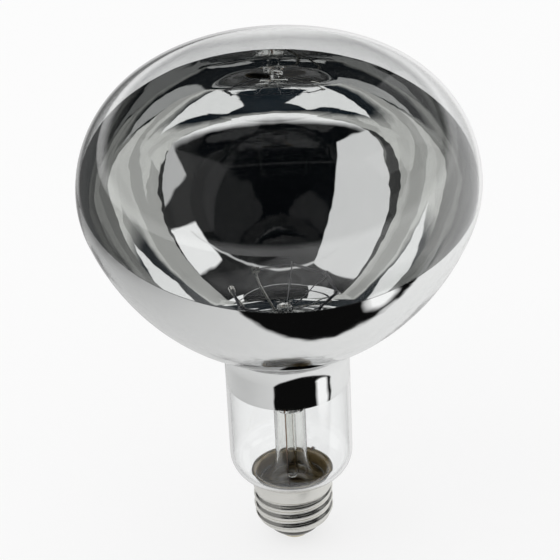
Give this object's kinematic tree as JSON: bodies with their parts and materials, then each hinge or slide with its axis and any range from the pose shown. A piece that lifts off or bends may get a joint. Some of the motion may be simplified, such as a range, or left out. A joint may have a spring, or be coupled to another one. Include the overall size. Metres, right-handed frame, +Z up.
{
  "type": "incandescent reflector drying bulb",
  "caption": "Clear-faced reflector heat lamp with a silvered bowl, a clear neck showing the stem, and a screw cap; warms and dries from the face.",
  "frame": {"origin": "on the axis of the bulb, at the underside of the centre contact", "axes": "+Z up the axis from the screw cap to the clear face; -Y towards the side that faces the reader, +X to that reader's right"},
  "size_m": [0.125, 0.125, 0.173],
  "materials": {
    "clear_glass": "clear, smooth",
    "mirror_film": "bright evaporated metal",
    "clear_glass_stem": "clear, smooth, slightly greyer lead glass",
    "tungsten": "dark grey drawn wire",
    "molybdenum_wire": "grey drawn wire",
    "nickel_wire": "satin drawn wire",
    "seal_wire": "copper-clad, red-brown in the glass",
    "copper_wire": "bare drawn wire",
    "nickel_plate": "bright nickel plate, faint rolling marks",
    "cement": "matt cured cement",
    "black_glass": "glossy black glass",
    "contact_metal": "tinned brass, satin",
    "solder": "satin tin solder"
  },
  "bodies": {
    "root": {"glass_envelope": "clear_glass", "mirror_coating": "mirror_film", "glass_stem": "clear_glass_stem", "exhaust_tube": "clear_glass_stem", "glass_arbor": "clear_glass_stem", "filament": "tungsten", "inner_lead_1": "nickel_wire", "inner_lead_2": "nickel_wire", "seal_wire_1": "seal_wire", "seal_wire_2": "seal_wire", "side_lead": "copper_wire", "centre_lead": "copper_wire", "cap_shell": "nickel_plate", "cap_cement": "cement", "cap_insulator": "black_glass", "centre_contact": "contact_metal", "contact_solder": "solder", "side_solder": "solder", "filament_support_1": "molybdenum_wire", "filament_support_2": "molybdenum_wire", "filament_support_3": "molybdenum_wire", "filament_support_4": "molybdenum_wire", "filament_support_5": "molybdenum_wire", "filament_support_6": "molybdenum_wire"}
  },
  "joints": []
}
